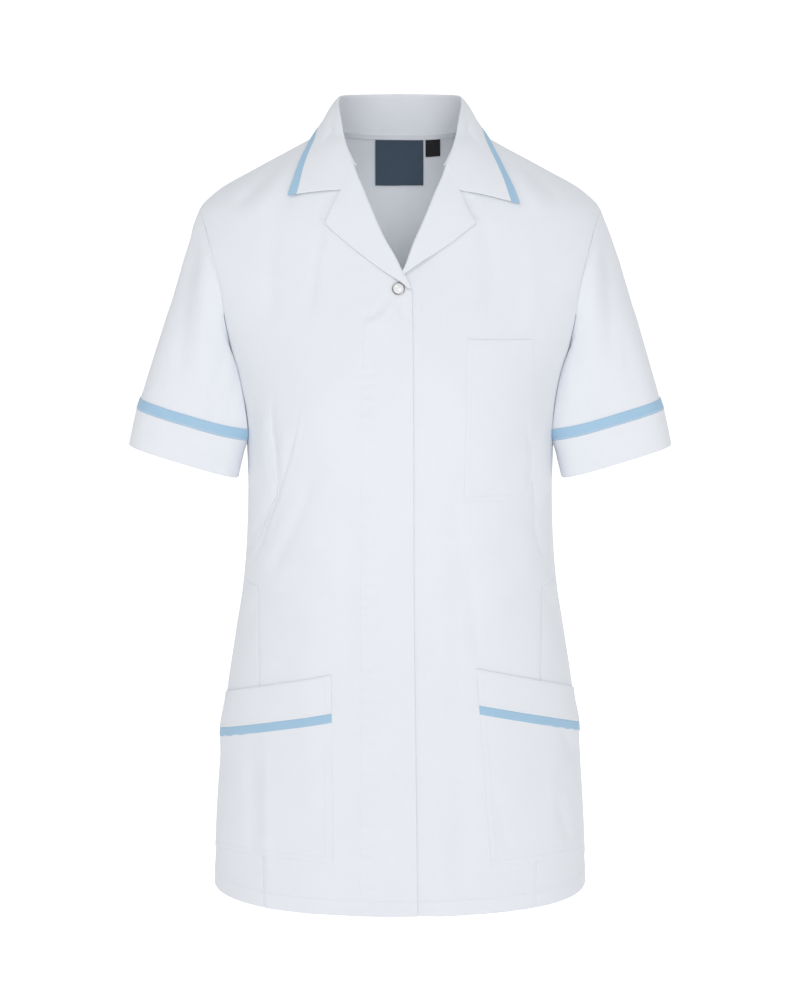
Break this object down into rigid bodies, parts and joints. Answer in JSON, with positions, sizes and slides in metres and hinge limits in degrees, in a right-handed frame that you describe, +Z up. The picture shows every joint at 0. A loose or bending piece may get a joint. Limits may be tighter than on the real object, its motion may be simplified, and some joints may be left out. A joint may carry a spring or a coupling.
{
  "type": "medical tunic",
  "caption": "Short-sleeved white medical tunic in its worn, hollow form: open collar and lapels, covered front, patch pockets and blue trim strips.",
  "frame": {"origin": "midway between the neck ends of the two shoulder seams, where the wearer's shoulders hold the tunic", "axes": "+Z up, the wearer faces -Y, the wearer's left is +X"},
  "size_m": [0.5382, 0.259, 0.7963],
  "materials": {
    "white_cloth": "matt plain weave, near white",
    "blue_trim": "matt plain weave, light blue",
    "slate_label": "woven label, slate blue, plain",
    "black_tab": "woven tab, black, plain",
    "silver_metal": "polished stud ring",
    "pearl_cap": "pearl white stud cap"
  },
  "bodies": {
    "root": {"back": "white_cloth", "front_right": "white_cloth", "front_left": "white_cloth", "side_panel_right": "white_cloth", "side_panel_left": "white_cloth", "sleeve_right": "white_cloth", "sleeve_left": "white_cloth", "cuff_right": "white_cloth", "cuff_left": "white_cloth", "lapel_right": "white_cloth", "lapel_left": "white_cloth", "collar": "white_cloth", "chest_pocket": "white_cloth", "hip_pocket_right": "white_cloth", "hip_pocket_left": "white_cloth", "hip_pocket_band_right": "white_cloth", "hip_pocket_band_left": "white_cloth", "neck_tape": "white_cloth", "cuff_trim_right": "blue_trim", "cuff_trim_left": "blue_trim", "collar_trim": "blue_trim", "hip_pocket_trim_right": "blue_trim", "hip_pocket_trim_left": "blue_trim", "label_main": "slate_label", "label_size": "black_tab", "stud_ring": "silver_metal", "stud_cap": "pearl_cap"}
  },
  "joints": []
}
